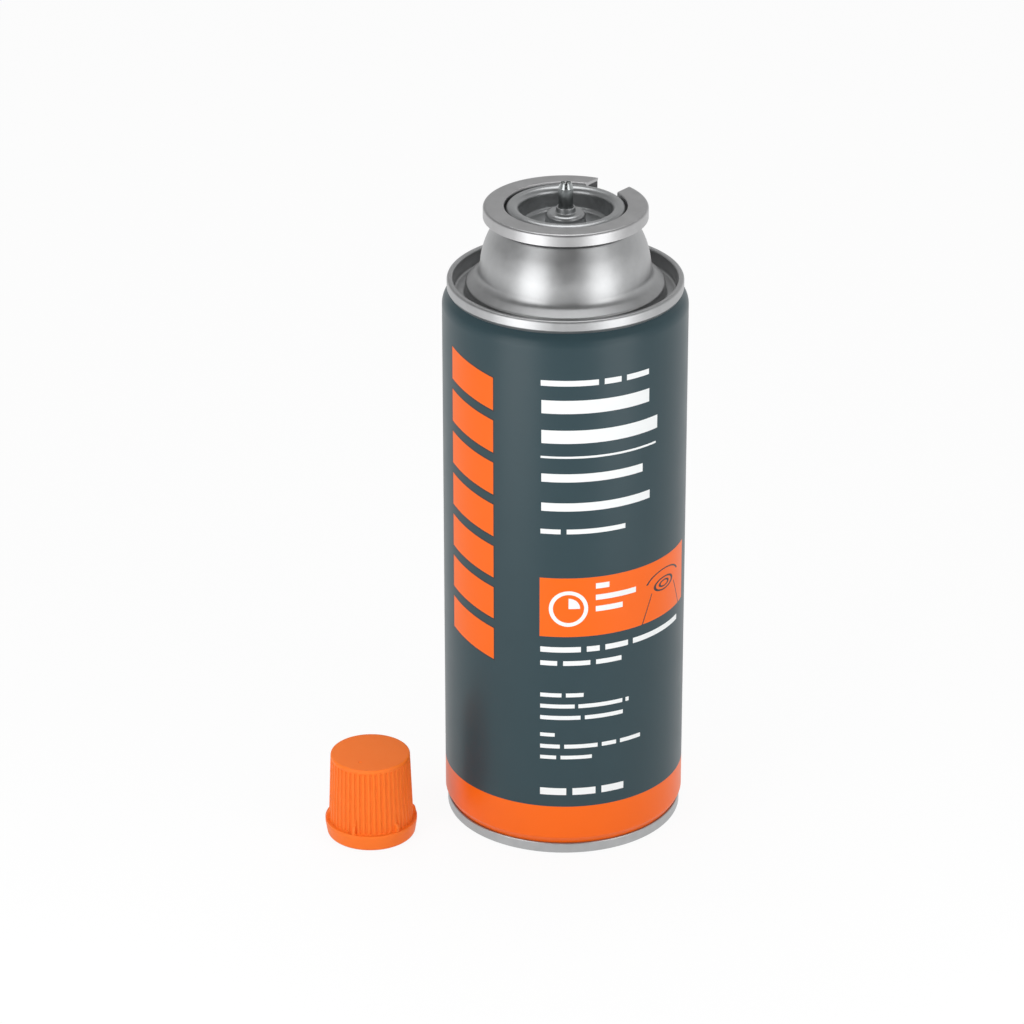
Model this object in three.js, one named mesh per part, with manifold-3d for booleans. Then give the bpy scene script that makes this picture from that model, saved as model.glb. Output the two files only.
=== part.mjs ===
// Fuel canister: a tinplate gas can with a notched bayonet collar round its valve, and the plastic
// cap of the valve standing beside it.
// Millimetres, +Z up. The can's own axis is the Z axis of its group, with z = 0 where its rim stands.
// The whole is placed so that the middle of its footprint is the origin.

import * as THREE from 'three';
import { mergeVertices } from 'three/addons/utils/BufferGeometryUtils.js';
import Module from 'manifold-3d';

const wasm = await Module();
wasm.setup();

// Body
const bodyRadius = 33.0;
const printTop = 149.3;
const shoulderRound = 8.5;
const shoulderLean = 37;

// Bottom end, seamed inside the body's width
const footSeamInset = 0.6;
const footSeamWidth = 1.7;
const footSeamHeight = 3.1;
const footGrooveDepth = 0.6;
const footNeckHeight = 5.2;
const footRecess = 4.2;
const footDomeRise = 5.3;
const footDomeMargin = 0.8;

// Top seam and the trough inside it
const topSeamInset = 1.3;
const topSeamWidth = 1.6;
const topSeamHeight = 2.65;
const topGrooveDepth = 0.6;
const topGrooveHeight = 0.95;
const troughWidth = 1.9;
const troughDepth = 4.6;

// Dome
const domeFootDrop = 1.05;
const domeFootWidth = 4.85;
const domeWaistRise = 0.7;
const domeSideLean = 1.2;
const domeSideHeight = 8.2;
const domeShoulderHeight = 7.0;
const collarSeatMargin = 1.4;
const rimAboveDome = 4.45;

// Valve cup, with its rim rolled over the can's curled mouth
const cupBowlRadius = 12.4;
const cupRimWidth = 3.6;
const cupSkirtDepth = 3.0;
const cupBowlDepth = 6.3;
const cupWall = 0.5;
const pedestalRadius = 5.2;
const pedestalFlare = 0.35;
const pedestalHeight = 4.4;
const lipWall = 0.4;
const lipHeight = 1.4;

// Valve stem
const stemRadius = 1.95;
const stemAboveRim = 6.4;
const stemNoseLength = 1.6;
const stemNoseTaper = 0.57;
const stemBoreRadius = 0.6;
const stemBoreDepth = 3.5;
const stemSlotWidth = 0.5;
const stemSlotDepth = 0.9;
const stemFlangeHeight = 1.0;
const stemTailLength = 4.5;
const stemTravel = 1.6;

// Collar
const collarWidth = 5.6;
const collarSkirtDepth = 3.25;
const collarSheet = 0.8;
const collarEdgeRound = 0.75;
const collarNotchWidth = 10.5;

// Cap, whose foot plugs into the cup's bowl
const capHeight = 24.4;
const capFlangeHeight = 4.8;
const capFlangeLand = 1.0;
const capFlangeLedge = 1.0;
const capPlugTaper = 0.6;
const capFootRound = 0.95;
const capWallTaper = 0.75;
const capTopRound = 0.9;
const capWall = 1.25;
const capFluteCount = 48;
const capFluteRadius = 0.42;
const capFluteTopMargin = 1.15;
const capLugCount = 6;
const capLugTurn = 47;
const capLugWidth = 0.9;
const capLugHeight = 3.2;
const capGateRadius = 0.45;
const capGateDepth = 0.2;
const capGateOffset = 6.3;
const capGateTurn = -76;

// Where the cap stands, from the can's axis
const capFromCanX = -29.8;
const capFromCanY = -48.3;

// Clearances
const seatGap = 0.3;
const collarGap = 0.4;
const stemGap = 0.15;
const stemFlangeGap = 1.3;
const capPlugGap = 0.3;

// Facets
const bodyFacets = 48;
const ringFacets = 48;
const cupFacets = 32;
const stemFacets = 24;

// Radii that follow from the sizes above
const footSeamRadius = bodyRadius - footSeamInset;
const topSeamRadius = bodyRadius - topSeamInset;
const topGrooveRadius = topSeamRadius - topGrooveDepth;
const topSeamInnerRadius = topSeamRadius - topSeamWidth;
const domeFootRadius = topSeamInnerRadius - troughWidth;
const domeWaistRadius = domeFootRadius - domeFootWidth;
const domeBreakRadius = domeWaistRadius - domeSideLean;
const cupRimRadius = cupBowlRadius + cupRimWidth;
const mouthOuterRadius = cupRimRadius - cupWall - seatGap;
const mouthInnerRadius = cupBowlRadius + cupWall + seatGap;
const collarInnerRadius = cupRimRadius + collarGap;
const collarRadius = collarInnerRadius + collarWidth;
const domeShoulderRadius = collarInnerRadius + collarSheet + collarSeatMargin;
const stemBore = stemRadius + stemGap;
const lipRadius = stemBore + lipWall;
const stemFlangeRadius = pedestalRadius - cupWall - stemFlangeGap;
const stemTipRadius = stemRadius - stemNoseTaper;
const capPlugRadius = cupBowlRadius - capPlugGap;
const capFlangeRadius = capPlugRadius + capPlugTaper;
const capWallFootRadius = capFlangeRadius - capFlangeLedge;
const capWallTopRadius = capWallFootRadius - capWallTaper;

// Heights that follow from the sizes above
const leanRadians = THREE.MathUtils.degToRad(shoulderLean);
const shoulderCorner = printTop + shoulderRound * Math.tan(leanRadians / 2);
const topGroove = shoulderCorner + (bodyRadius - topGrooveRadius) / Math.tan(leanRadians);
const topSeamFoot = topGroove + topGrooveHeight;
const topSeamTop = topSeamFoot + topSeamHeight;
const troughFloor = topSeamTop - troughDepth;
const domeWaist = topSeamTop + domeWaistRise;
const domeBreak = domeWaist + domeSideHeight;
const domeTop = domeBreak + domeShoulderHeight;
const rimTop = domeTop + rimAboveDome;
const mouthTop = rimTop - cupWall - seatGap;
const bowlFloor = rimTop - cupBowlDepth;
const pedestalTop = bowlFloor + pedestalHeight;
const lipTop = pedestalTop + lipHeight;
const stemTop = rimTop + stemAboveRim;
const stemFlangeTop = pedestalTop - cupWall - seatGap;
const stemFlangeFoot = stemFlangeTop - stemFlangeHeight;
const stemFoot = stemFlangeFoot - stemTailLength;

// Points of an outline whose corners are [radius, height, rounding]. Each corner is rounded by an arc,
// kept short enough for both of its sides, in more steps where it is larger. A corner with no
// rounding stays sharp.
function roundedOutline(corners) {
  const points = [];
  corners.forEach(([radius, height, rounding], index) => {
    const corner = new THREE.Vector2(radius, height);
    if (!rounding) {
      points.push(corner);
      return;
    }
    const before = new THREE.Vector2(...corners.at(index - 1)).sub(corner);
    const after = new THREE.Vector2(...corners[(index + 1) % corners.length]).sub(corner);
    const room = Math.min(before.length(), after.length()) * 0.49;
    const halfAngle = before.angleTo(after) / 2;
    const reach = Math.min(rounding / Math.tan(halfAngle), room);
    const start = corner.clone().add(before.setLength(reach));
    const end = corner.clone().add(after.setLength(reach));
    const centre = start.clone().add(end).divideScalar(2).sub(corner);
    centre.setLength(reach / Math.cos(halfAngle)).add(corner);
    const fromCentre = start.clone().sub(centre);
    const toCentre = end.clone().sub(centre);
    const sweep = Math.atan2(fromCentre.cross(toCentre), fromCentre.dot(toCentre));
    const steps = Math.ceil(Math.sqrt(rounding));
    for (let step = 0; step <= steps; step++) {
      points.push(start.clone().rotateAround(centre, (sweep * step) / steps));
    }
  });
  return points;
}

// Only the places of a geometry's corners, shared between the triangles that meet there.
function welded(geometry) {
  const bare = geometry.index ? geometry.toNonIndexed() : geometry.clone();
  bare.deleteAttribute('normal');
  bare.deleteAttribute('uv');
  const merged = mergeVertices(bare, 1e-5);
  const index = merged.index.array;
  const kept = [];
  for (let i = 0; i < index.length; i += 3) {
    const [a, b, c] = index.slice(i, i + 3);
    if (a !== b && b !== c && c !== a) kept.push(a, b, c);
  }
  merged.setIndex(kept);
  return merged;
}

// A solid of revolution about Z. The outline runs anticlockwise with radius to the right and height up:
// from axis to axis, or closed on itself.
function revolved(outline, facets, closed) {
  const points = closed ? [...outline, outline[0]] : outline;
  const lathe = new THREE.LatheGeometry(points, facets);
  lathe.rotateX(Math.PI / 2);
  return welded(lathe);
}

function solidOf(geometry) {
  const shape = welded(geometry);
  const vertProperties = new Float32Array(shape.attributes.position.array);
  const triVerts = new Uint32Array(shape.index.array);
  return new wasm.Manifold(new wasm.Mesh({ numProp: 3, vertProperties, triVerts }));
}

function geometryOf(solid) {
  const { vertProperties, triVerts } = solid.getMesh();
  const geometry = new THREE.BufferGeometry();
  geometry.setAttribute('position', new THREE.BufferAttribute(vertProperties, 3));
  geometry.setIndex(new THREE.BufferAttribute(triVerts, 1));
  return geometry;
}

function piece(name, geometry, material) {
  geometry.computeVertexNormals();
  const mesh = new THREE.Mesh(geometry, material);
  mesh.name = name;
  return mesh;
}

const printedTinplate = new THREE.MeshStandardMaterial({ color: 0x3e505a, roughness: 0.35, metalness: 0.3 });
const collarSteel = new THREE.MeshStandardMaterial({ color: 0x9a9b9d, roughness: 0.4, metalness: 0.9 });
const cupTinplate = new THREE.MeshStandardMaterial({ color: 0xa6a9aa, roughness: 0.3, metalness: 1.0 });
const stemSteel = new THREE.MeshStandardMaterial({ color: 0x7d8384, roughness: 0.25, metalness: 1.0 });
const orangePlastic = new THREE.MeshStandardMaterial({ color: 0xef6a23, roughness: 0.6, metalness: 0.0 });

// The bottom end is domed inwards, so that the can stands on its seam.
function bottomEnd() {
  const wallRadius = footSeamRadius - footSeamWidth;
  const domeRadius = wallRadius - footDomeMargin;
  const sphere = (domeRadius ** 2 + footDomeRise ** 2) / (2 * footDomeRise);
  const crown = footRecess + footDomeRise;
  const rings = 4;
  const dome = Array.from({ length: rings }, (_, ring) => {
    const radius = (domeRadius * ring) / rings;
    return [radius, crown - sphere + Math.sqrt(sphere ** 2 - radius ** 2), 0];
  });
  return [
    ...dome,
    [domeRadius, footRecess, 0],
    [wallRadius, footRecess - footDomeMargin, 0],
    [wallRadius, 0, 0.35],
    [footSeamRadius, 0, 0.5],
    [footSeamRadius, footSeamHeight, 0.5],
    [footSeamRadius - footGrooveDepth, footSeamHeight, 0],
  ];
}

function printedWall() {
  return [
    [bodyRadius, footNeckHeight, 1.2],
    [bodyRadius, shoulderCorner, shoulderRound],
    [topGrooveRadius, topGroove, 0],
  ];
}

function topSeamAndTrough() {
  return [
    [topSeamRadius, topSeamFoot, 0.3],
    [topSeamRadius, topSeamTop, 0.7],
    [topSeamInnerRadius, topSeamTop, 0.5],
    [topSeamInnerRadius, troughFloor, 0.8],
    [domeFootRadius, troughFloor, 0.8],
  ];
}

// The dome flares at its foot, leans in above its waist, and ends in a flat that carries the collar,
// with the curled mouth inside it.
function dome() {
  const curlRound = (mouthOuterRadius - mouthInnerRadius) / 2;
  return [
    [domeFootRadius, topSeamTop - domeFootDrop, 0.7],
    [domeWaistRadius, domeWaist, 3.0],
    [domeBreakRadius, domeBreak, 5.0],
    [domeShoulderRadius, domeTop, 1.6],
    [mouthOuterRadius, domeTop, 0],
    [mouthOuterRadius, mouthTop, curlRound],
    [mouthInnerRadius, mouthTop, curlRound],
  ];
}

// Inside the mouth the sealed can is closed below the valve cup, but for the blind bore that the
// stem's tail runs in.
function belowTheCup() {
  const floor = bowlFloor - cupWall - seatGap;
  const boreEnd = stemFoot - stemTravel - seatGap;
  return [
    [mouthInnerRadius, floor, 0],
    [stemBore, floor, 0],
    [stemBore, boreEnd, 0],
    [0, boreEnd, 0],
  ];
}

function sealedCan() {
  const corners = [...bottomEnd(), ...printedWall(), ...topSeamAndTrough(), ...dome(), ...belowTheCup()];
  return piece('sealed_can', revolved(roundedOutline(corners), bodyFacets, false), printedTinplate);
}

function valveCup() {
  const rimRound = cupRimWidth / 2;
  const skirtFoot = rimTop - cupSkirtDepth;
  const outside = [
    [cupRimRadius, skirtFoot, 0],
    [cupRimRadius, rimTop, rimRound],
    [cupBowlRadius, rimTop, rimRound],
    [cupBowlRadius, bowlFloor, 1.3],
    [pedestalRadius + pedestalFlare, bowlFloor, 0.4],
    [pedestalRadius, pedestalTop, 1.2],
    [lipRadius + 0.2, pedestalTop, 0.2],
    [lipRadius, lipTop, 0.25],
    [stemBore, lipTop, 0],
  ];
  const underside = [
    [stemBore, pedestalTop - cupWall, 0],
    [pedestalRadius - cupWall, pedestalTop - cupWall, 0.7],
    [pedestalRadius + pedestalFlare - cupWall, bowlFloor - cupWall, 0.5],
    [cupBowlRadius + cupWall, bowlFloor - cupWall, 1.8],
    [cupBowlRadius + cupWall, rimTop - cupWall, rimRound - cupWall],
    [cupRimRadius - cupWall, rimTop - cupWall, rimRound - cupWall],
    [cupRimRadius - cupWall, skirtFoot, 0],
  ];
  const outline = roundedOutline([...outside, ...underside]);
  return piece('valve_cup', revolved(outline, cupFacets, true), cupTinplate);
}

// The stem slides down its bore when a burner is fitted. Its flange holds it under the pedestal, and
// its nose is bored and cross slotted.
function valveStem() {
  const outline = roundedOutline([
    [0, stemFoot, 0],
    [stemRadius, stemFoot, 0.3],
    [stemRadius, stemFlangeFoot, 0],
    [stemFlangeRadius, stemFlangeFoot, 0],
    [stemFlangeRadius, stemFlangeTop, 0],
    [stemRadius, stemFlangeTop, 0],
    [stemRadius, stemTop - stemNoseLength, 0.4],
    [stemTipRadius, stemTop, 0.35],
    [stemBoreRadius, stemTop, 0],
    [stemBoreRadius, stemTop - stemBoreDepth, 0],
    [0, stemTop - stemBoreDepth, 0],
  ]);
  let stem = solidOf(revolved(outline, stemFacets, false));
  for (const turn of [Math.PI / 4, -Math.PI / 4]) {
    const slot = new THREE.BoxGeometry(3 * stemRadius, stemSlotWidth, 2 * stemSlotDepth);
    slot.rotateZ(turn);
    slot.translate(0, 0, stemTop);
    stem = stem.subtract(solidOf(slot));
  }
  return piece('valve_stem', geometryOf(stem), stemSteel);
}

// A pressed ring of channel section, open below, that stands on the dome round the cup's rim. The
// notch lets the key of a burner in.
function collar() {
  const seat = domeTop + seatGap;
  const skirtFoot = rimTop - collarSkirtDepth;
  const channelTop = rimTop - collarSheet;
  const outline = roundedOutline([
    [collarInnerRadius, seat, 0],
    [collarInnerRadius + collarSheet, seat, 0],
    [collarInnerRadius + collarSheet, channelTop, 0.3],
    [collarRadius - collarSheet, channelTop, 0.4],
    [collarRadius - collarSheet, skirtFoot, 0],
    [collarRadius, skirtFoot, 0.25],
    [collarRadius, rimTop, collarEdgeRound],
    [collarInnerRadius, rimTop, 0.3],
  ]);
  const ring = solidOf(revolved(outline, ringFacets, true));
  const notch = new THREE.BoxGeometry(collarNotchWidth, collarRadius, 4 * collarSkirtDepth);
  notch.translate(0, collarRadius, rimTop);
  return piece('collar', geometryOf(ring.subtract(solidOf(notch))), collarSteel);
}

function capShell() {
  const ceiling = capHeight - capWall;
  const outline = roundedOutline([
    [0, ceiling, 0],
    [capWallTopRadius - capWall, ceiling, 0.8],
    [capWallFootRadius - capWall, 0, 0.3],
    [capPlugRadius, 0, capFootRound],
    [capFlangeRadius, capFlangeHeight - capFlangeLand, 0],
    [capFlangeRadius, capFlangeHeight, 0.35],
    [capWallFootRadius, capFlangeHeight, 0],
    [capWallTopRadius, capHeight, capTopRound],
    [0, capHeight, 0],
  ]);
  return solidOf(revolved(outline, capFluteCount, false));
}

// A round groove up the leaning wall of the cap, at one angle.
function capFlute(turn) {
  const foot = capFlangeHeight + 0.1;
  const length = capHeight - capFluteTopMargin - foot;
  const lean = Math.atan2(capWallTaper, capHeight - capFlangeHeight);
  const flute = new THREE.CylinderGeometry(capFluteRadius, capFluteRadius, length, 6);
  flute.rotateX(Math.PI / 2);
  flute.rotateY(-lean);
  const wallRadius = capWallFootRadius - (Math.tan(lean) * length) / 2;
  flute.translate(wallRadius, 0, foot + length / 2);
  flute.rotateZ(turn);
  return solidOf(flute);
}

// A small web between the flange and the wall.
function capLug(turn) {
  const buried = capWallFootRadius - capWall / 2;
  const side = new THREE.Shape();
  side.moveTo(buried, capFlangeHeight - 0.5);
  side.lineTo(capFlangeRadius - 0.25, capFlangeHeight - 0.5);
  side.lineTo(capFlangeRadius - 0.25, capFlangeHeight);
  side.lineTo(capWallFootRadius, capFlangeHeight + capLugHeight);
  side.lineTo(buried, capFlangeHeight + capLugHeight);
  side.closePath();
  const lug = new THREE.ExtrudeGeometry(side, { depth: capLugWidth, bevelEnabled: false });
  lug.translate(0, 0, -capLugWidth / 2);
  lug.rotateX(Math.PI / 2);
  lug.rotateZ(turn);
  return solidOf(lug);
}

function cap() {
  const turns = (count) => Array.from({ length: count }, (_, i) => (2 * Math.PI * i) / count);
  const lugTurn = THREE.MathUtils.degToRad(capLugTurn);
  const flutes = turns(capFluteCount).map((turn) => capFlute(turn + Math.PI / capFluteCount));
  const lugs = turns(capLugCount).map((turn) => capLug(turn + lugTurn));
  const gate = new THREE.CylinderGeometry(capGateRadius, capGateRadius, 2 * capGateDepth, 8);
  gate.rotateX(Math.PI / 2);
  gate.translate(capGateOffset, 0, capHeight);
  gate.rotateZ(THREE.MathUtils.degToRad(capGateTurn));
  let shell = capShell().subtract(wasm.Manifold.union(flutes));
  shell = shell.add(wasm.Manifold.union(lugs)).subtract(solidOf(gate));
  return piece('push_cap', geometryOf(shell), orangePlastic);
}

const can = new THREE.Group();
can.add(sealedCan(), collar(), valveCup(), valveStem());

const looseCap = new THREE.Group();
looseCap.position.set(capFromCanX, capFromCanY, 0);
looseCap.add(cap());

const canister = new THREE.Group();
canister.add(can, looseCap);
const footprintMiddle = new THREE.Box3().setFromObject(canister).getCenter(new THREE.Vector3());
canister.position.set(-footprintMiddle.x, -footprintMiddle.y, 0);

export default canister;
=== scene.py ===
import logging
import math
from collections.abc import Sequence
from dataclasses import dataclass
from enum import Enum
from typing import Any

import bmesh
import bpy
import numpy as np
from mathutils import Matrix, Vector


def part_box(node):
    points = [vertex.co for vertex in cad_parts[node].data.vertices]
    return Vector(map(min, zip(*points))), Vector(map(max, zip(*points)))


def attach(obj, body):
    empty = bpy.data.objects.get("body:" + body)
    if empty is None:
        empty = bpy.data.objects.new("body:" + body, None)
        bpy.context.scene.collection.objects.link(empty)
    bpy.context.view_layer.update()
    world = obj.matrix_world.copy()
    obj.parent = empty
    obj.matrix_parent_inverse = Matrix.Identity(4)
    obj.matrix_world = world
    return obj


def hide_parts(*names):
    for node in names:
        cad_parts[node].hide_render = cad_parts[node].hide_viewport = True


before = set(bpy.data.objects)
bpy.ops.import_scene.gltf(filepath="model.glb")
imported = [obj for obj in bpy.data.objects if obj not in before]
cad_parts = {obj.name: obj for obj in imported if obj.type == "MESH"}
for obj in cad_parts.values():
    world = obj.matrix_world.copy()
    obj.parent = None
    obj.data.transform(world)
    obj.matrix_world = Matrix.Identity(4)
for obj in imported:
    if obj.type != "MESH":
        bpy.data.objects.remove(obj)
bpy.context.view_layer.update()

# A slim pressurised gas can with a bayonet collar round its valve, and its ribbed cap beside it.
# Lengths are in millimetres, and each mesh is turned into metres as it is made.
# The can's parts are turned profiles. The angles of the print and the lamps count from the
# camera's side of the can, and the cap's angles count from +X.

MM = 0.001
LOG = logging.getLogger("fuel_canister")

STRAIGHT_TURN = 0.02
ARC_SHARE = 0.49
MERGE_DISTANCE = 2e-7
ON_LEVEL = 1e-6

Array = np.ndarray
Colour = tuple[float, float, float]
Span = tuple[float, float]


class Body(str, Enum):
    """The rigid bodies of the frame that a piece can ride on."""

    CANISTER = "canister"
    VALVE = "valve"


class Slot(str, Enum):
    """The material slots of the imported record."""

    PRINTED_TINPLATE = "printed_tinplate"
    COLLAR_STEEL = "collar_steel"
    CUP_TINPLATE = "cup_tinplate"
    STEM_METAL = "stem_metal"
    ORANGE_PLASTIC = "orange_plastic"


@dataclass(frozen=True)
class Corner:
    """A corner of a turned outline: its radius, its height and the radius that rounds it."""

    r: float
    z: float
    soft: float = 0.06


@dataclass(frozen=True)
class Place:
    """A vertical axis in the row frame, with the lowest and highest level of what turns on it."""

    x: float
    y: float
    low: float
    high: float
    radius: float

    @classmethod
    def of(cls, node: str) -> "Place":
        """Reads the axis, levels and radius of a round CAD node.

        Args:
            node: The node's name in the frame.

        Returns:
            The node's place in millimetres.
        """
        low, high = (np.array(corner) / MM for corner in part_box(node))
        middle = (low + high) / 2
        return cls(middle[0], middle[1], low[2], high[2], (high[0] - low[0]) / 2)


def shaded(colour: Colour, share: float) -> Colour:
    """Gives a colour at a share of its brightness."""
    return tuple(channel * share for channel in colour)


def rounded(corners: Sequence[Corner], closed: bool, steps: int) -> Array:
    """Turns corners into an outline whose corners are arcs.

    Each arc touches the corner's two sides at soft / tan(half the inner angle) from the corner, or
    at just under half of the shorter side. A point of it is the weighted sum of the arc's first and
    last radius, with the sines of the angles still to go and already gone as weights.

    Args:
        corners: The corners in order, anticlockwise where the outline bounds a solid.
        closed: True if the last corner is joined to the first.
        steps: How many stretches make an arc.

    Returns:
        The outline's points, one row of radius and height each.
    """
    places = np.array([(corner.r, corner.z) for corner in corners], float)
    parts = []
    for number, corner in enumerate(corners):
        here = places[number]
        if not closed and number in (0, len(corners) - 1):
            parts.append(here[None])
            continue
        back = places[number - 1] - here
        ahead = places[(number + 1) % len(corners)] - here
        back_length, ahead_length = np.linalg.norm(back), np.linalg.norm(ahead)
        back, ahead = back / back_length, ahead / ahead_length
        inner = math.acos(float(np.clip(back @ ahead, -1, 1)))
        turn = math.pi - inner
        if turn < STRAIGHT_TURN:
            parts.append(here[None])
            continue
        run = min(corner.soft / math.tan(inner / 2), ARC_SHARE * back_length, ARC_SHARE * ahead_length)
        middle = (back + ahead) / np.linalg.norm(back + ahead)
        centre = here + middle * run / math.cos(inner / 2)
        share = np.linspace(0, 1, steps + 1)[:, None]
        first, last = here + back * run - centre, here + ahead * run - centre
        arc = np.sin((1 - share) * turn) * first + np.sin(share * turn) * last
        parts.append(centre + arc / math.sin(turn))
    return np.vstack(parts)


def braced(outline: Array, closed: bool, hold: float) -> Array:
    """Adds a point near each end of every long straight stretch, so that its shading stays flat.

    A stretch longer than four holds gets a point at one hold from each of its ends.

    Args:
        outline: The points of an outline.
        closed: True if the last point is joined to the first.
        hold: How far from the ends the new points stand.

    Returns:
        The outline with the new points in their order.
    """
    after = np.roll(outline, -1, axis=0)
    parts = []
    for number, (here, there) in enumerate(zip(outline, after)):
        parts.append(here[None])
        length = np.linalg.norm(there - here)
        if length > 4 * hold and (closed or number < len(outline) - 1):
            share = hold / length
            parts.append(here + (there - here) * np.array([[share], [1 - share]]))
    return np.vstack(parts)


def sphere_line(edge: Span, crown: float, steps: int) -> Array:
    """Gives half of the section of a shallow sphere, from its crown on the axis to its edge.

    With rise h and edge radius a, the sphere's radius is (a * a + h * h) / (2 * h), and the line's
    points stand at even angles about the sphere's centre.

    Args:
        edge: The radius and height of the edge.
        crown: The height of the crown.
        steps: How many stretches the line has.

    Returns:
        The line's points, from the axis outwards.
    """
    rise = crown - edge[1]
    ball = (edge[0] ** 2 + rise**2) / (2 * rise)
    angle = np.linspace(0, math.asin(edge[0] / ball), steps + 1)
    return np.stack([ball * np.sin(angle), crown - ball * (1 - np.cos(angle))], -1)


def profile(
    corners: Sequence[Corner], closed: bool = False, steps: int = 10, hold: float = 0.22
) -> Array:
    """Rounds an outline's corners and braces its straight stretches.

    Args:
        corners: The corners in order.
        closed: True if the last corner is joined to the first.
        steps: How many stretches make an arc.
        hold: How far from a stretch's ends its new points stand.

    Returns:
        The outline's points.
    """
    return braced(rounded(corners, closed, steps), closed, hold)


def round_axis(place: Place, radius: Array, angle: Array, height: Array) -> Array:
    """Gives the points (x + r cos a, y + r sin a, z) round the vertical axis through x and y.

    Args:
        place: The axis.
        radius: The distance r of each point, or one for a whole row.
        angle: The angle a of each point, or one for a whole column.
        height: The height z of each point, or one for a whole row.

    Returns:
        The grid of points, rows by columns by three.
    """
    x, y = place.x + radius * np.cos(angle), place.y + radius * np.sin(angle)
    return np.stack([x, y, np.broadcast_to(height, x.shape)], -1)


def grid_faces(rows: int, columns: int, loop_rows: bool, loop_columns: bool) -> Array:
    """Joins the points of a grid into four-sided faces.

    The face of point (i, j) runs through (i, j + 1), (i + 1, j + 1) and (i + 1, j).

    Args:
        rows: How many rows the grid has.
        columns: How many columns it has.
        loop_rows: True if the last row is joined to the first.
        loop_columns: True if the last column is joined to the first.

    Returns:
        The faces, four point numbers each.
    """
    index = np.arange(rows * columns).reshape(rows, columns)
    beside, above = np.roll(index, -1, axis=1), np.roll(index, -1, axis=0)
    faces = np.stack([index, beside, np.roll(above, -1, axis=1), above], -1)
    faces = faces if loop_rows else faces[:-1]
    faces = faces if loop_columns else faces[:, :-1]
    return faces.reshape(-1, 4)


def placed(name: str, data: bpy.types.ID) -> bpy.types.Object:
    """Puts a new object into the scene.

    Args:
        name: The object's name.
        data: The mesh, lamp or camera that it holds.

    Returns:
        The object.
    """
    made = bpy.data.objects.new(name, data)
    bpy.context.scene.collection.objects.link(made)
    return made


@dataclass
class Piece:
    """A finished surface with what it is called, carried by and dressed in."""

    name: str
    points: Array
    faces: Array
    body: Body
    slot: Slot
    stands_for: str
    sharp_from: float = 32.0

    @classmethod
    def turned(
        cls,
        name: str,
        outline: Array,
        axis: Place,
        columns: int,
        slot: Slot,
        node: str,
        closed: bool = True,
    ) -> "Piece":
        """Turns an outline about a vertical axis into a piece of the can.

        Point (i, j) stands at radius r(i) and height z(i), at the angle j / columns of a full turn.

        Args:
            name: The piece's name.
            outline: The points of radius and height.
            axis: The axis.
            columns: How many steps the turn has.
            slot: The piece's material slot.
            node: The CAD node that the piece stands for.
            closed: True if the outline's last point is joined to its first.

        Returns:
            The piece.
        """
        angle = np.arange(columns) / columns * 2 * math.pi
        grid = round_axis(axis, outline[:, :1], angle, outline[:, 1:])
        faces = grid_faces(len(outline), columns, closed, True)
        return cls(name, grid, faces, Body.CANISTER, slot, node)

    def make(self, material: bpy.types.Material) -> None:
        """Puts the surface into a mesh at the origin and hands it to the frame.

        Args:
            material: The finish.
        """
        mesh = bpy.data.meshes.new(self.name)
        mesh.from_pydata((self.points.reshape(-1, 3) * MM).tolist(), [], self.faces.tolist())
        cleaner = bmesh.new()
        cleaner.from_mesh(mesh)
        bmesh.ops.remove_doubles(cleaner, verts=cleaner.verts, dist=MERGE_DISTANCE)
        cleaner.to_mesh(mesh)
        cleaner.free()
        mesh.polygons.foreach_set("use_smooth", np.ones(len(mesh.polygons), bool))
        mesh.set_sharp_from_angle(angle=math.radians(self.sharp_from))
        mesh.materials.append(material)
        mesh.update()
        made = placed(self.name, mesh)
        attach(made, self.body.value)
        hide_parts(self.stands_for)
        LOG.info("%s: %d faces", self.name, len(mesh.polygons))


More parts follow.
